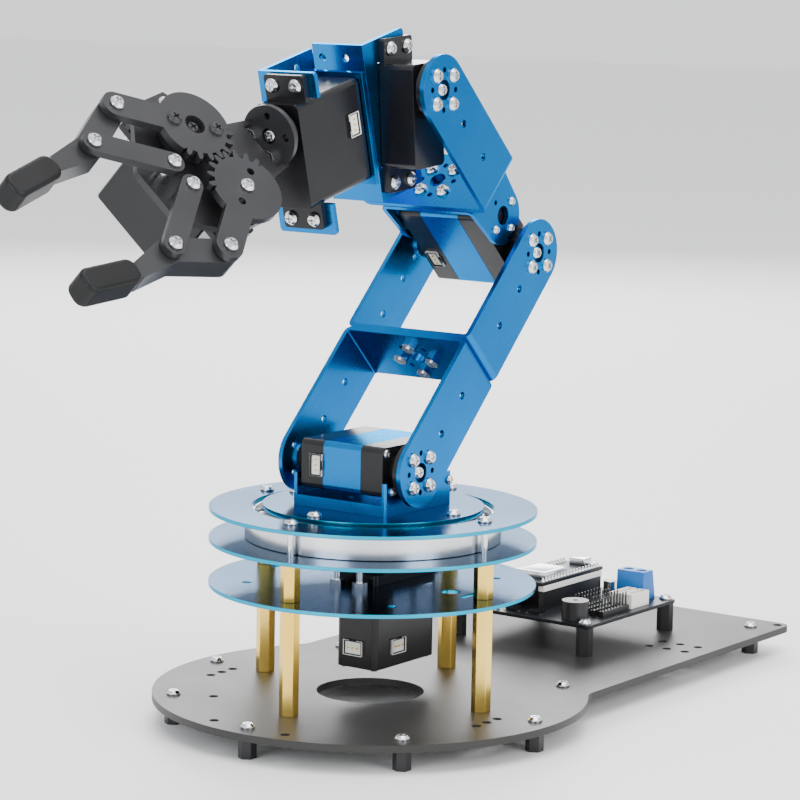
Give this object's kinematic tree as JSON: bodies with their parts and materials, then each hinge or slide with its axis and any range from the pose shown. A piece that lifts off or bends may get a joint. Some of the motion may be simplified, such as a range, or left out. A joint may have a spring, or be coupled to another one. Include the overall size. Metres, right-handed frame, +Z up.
{
  "type": "robot arm",
  "caption": "Desktop robot arm: base plate with tail, turntable bearing, servo-driven shoulder, elbow and wrist, and a geared parallel gripper.",
  "frame": {"origin": "on the yaw axis, at table level under the feet", "axes": "+Z up along the yaw axis, +X towards the gripper at rest, +Y to the arm's near (horn) side"},
  "size_m": [0.4326, 0.1806, 0.2848],
  "materials": {
    "plate_black": "satin powder coat",
    "blue_anodised": "bright anodised",
    "deck_disc": "clear-coated face with blue edge",
    "steel": "polished",
    "brass": "turned",
    "screw_steel": "bright",
    "servo_black": "moulded",
    "spacer_black": "moulded",
    "gripper_grey": "anodised dark grey",
    "circuit_black": "solder mask",
    "socket_white": "moulded",
    "terminal_blue": "moulded",
    "rubber": "matte"
  },
  "bodies": {
    "base": {"base_plate": "plate_black", "black_standoffs": "spacer_black", "brass_standoffs": "brass", "lower_disc": "deck_disc", "middle_disc": "deck_disc", "top_disc": "deck_disc", "bearing_outer_race": "steel", "base_screws": "screw_steel", "yaw_servo_case": "servo_black", "yaw_servo_drive": "servo_black", "control_board": "circuit_black", "processor_board": "circuit_black", "board_sockets": "socket_white", "board_headers": "spacer_black", "power_terminal": "terminal_blue"},
    "turntable": {"bearing_inner_race": "steel", "bearing_balls": "steel", "turntable_disc": "deck_disc", "drive_hub": "servo_black", "shoulder_bracket": "blue_anodised", "turntable_screws": "screw_steel", "shoulder_servo_case": "servo_black", "shoulder_servo_band": "blue_anodised", "shoulder_servo_drive": "servo_black"},
    "upper_arm": {"shoulder_horn": "servo_black", "lower_link": "blue_anodised", "upper_link": "blue_anodised", "elbow_horn": "servo_black", "arm_screws": "screw_steel", "arm_bearings": "steel"},
    "forearm": {"elbow_servo_case": "servo_black", "elbow_servo_band": "blue_anodised", "elbow_servo_drive": "servo_black", "elbow_bracket": "blue_anodised", "forearm_link": "blue_anodised", "pitch_horn": "servo_black", "forearm_screws": "screw_steel", "forearm_bearing": "steel"},
    "wrist": {"pitch_servo_case": "servo_black", "pitch_servo_drive": "servo_black", "pitch_bracket": "blue_anodised", "roll_bracket": "blue_anodised", "roll_servo_case": "servo_black", "roll_servo_drive": "servo_black", "wrist_screws": "screw_steel"},
    "hand": {"roll_horn": "servo_black", "gripper_frame": "gripper_grey", "gripper_servo_case": "servo_black", "gripper_servo_drive": "servo_black", "hand_screws": "screw_steel"},
    "drive_gear": {"drive_gear_arm": "gripper_grey"},
    "idle_gear": {"idle_gear_arm": "gripper_grey"},
    "upper_bar": {"upper_parallel_link": "gripper_grey"},
    "lower_bar": {"lower_parallel_link": "gripper_grey"},
    "upper_grip": {"upper_finger": "gripper_grey", "upper_pad": "rubber", "upper_finger_pins": "screw_steel"},
    "lower_grip": {"lower_finger": "gripper_grey", "lower_pad": "rubber", "lower_finger_pins": "screw_steel"}
  },
  "joints": [
    {"name": "base_yaw", "type": "hinge", "parent": "base", "child": "turntable", "pos_m": [0, 0, 0.09], "axis": [0, 0, 1], "range_deg": [-90, 90]},
    {"name": "shoulder_pitch", "type": "hinge", "parent": "turntable", "child": "upper_arm", "pos_m": [0.0103, 0, 0.1082], "axis": [0, 1, 0], "range_deg": [-40, 50]},
    {"name": "elbow_pitch", "type": "hinge", "parent": "upper_arm", "child": "forearm", "pos_m": [-0.07271, 0, 0.19121], "axis": [0, 1, 0], "range_deg": [-90, 30]},
    {"name": "wrist_pitch", "type": "hinge", "parent": "forearm", "child": "wrist", "pos_m": [-0.00088, 0, 0.26107], "axis": [0, -1, 0], "range_deg": [-40, 60]},
    {"name": "wrist_roll", "type": "hinge", "parent": "wrist", "child": "hand", "pos_m": [-0.00051, 0, 0.26252], "axis": [0.969, 0, -0.247], "range_deg": [-90, 90]},
    {"name": "grip", "type": "hinge", "parent": "hand", "child": "drive_gear", "pos_m": [0.11173, -0.00548, 0.24862], "axis": [0.1644, 0.7462, 0.6451], "range_deg": [-35, 27]},
    {"name": "idle_gear_turn", "type": "hinge", "parent": "hand", "child": "idle_gear", "pos_m": [0.10606, 0.01503, 0.22635], "axis": [0.1644, 0.7462, 0.6451], "range_deg": [-27, 35]},
    {"name": "upper_bar_turn", "type": "hinge", "parent": "hand", "child": "upper_bar", "pos_m": [0.13171, 0.00111, 0.23591], "axis": [0.1644, 0.7462, 0.6451], "range_deg": [-35, 27]},
    {"name": "lower_bar_turn", "type": "hinge", "parent": "hand", "child": "lower_bar", "pos_m": [0.12968, 0.00844, 0.22795], "axis": [0.1644, 0.7462, 0.6451], "range_deg": [-27, 35]},
    {"name": "upper_finger_turn", "type": "hinge", "parent": "drive_gear", "child": "upper_grip", "pos_m": [0.14117, -0.01889, 0.25663], "axis": [0.1644, 0.7462, 0.6451], "range_deg": [-27, 35]},
    {"name": "lower_finger_turn", "type": "hinge", "parent": "idle_gear", "child": "lower_grip", "pos_m": [0.13019, 0.02679, 0.2066], "axis": [0.1644, 0.7462, 0.6451], "range_deg": [-35, 27]}
  ],
  "couplings": [
    {"joint": "idle_gear_turn", "follows": "grip", "ratio": -1},
    {"joint": "upper_bar_turn", "follows": "grip", "ratio": 1},
    {"joint": "lower_bar_turn", "follows": "grip", "ratio": -1},
    {"joint": "upper_finger_turn", "follows": "grip", "ratio": -1},
    {"joint": "lower_finger_turn", "follows": "grip", "ratio": 1}
  ]
}
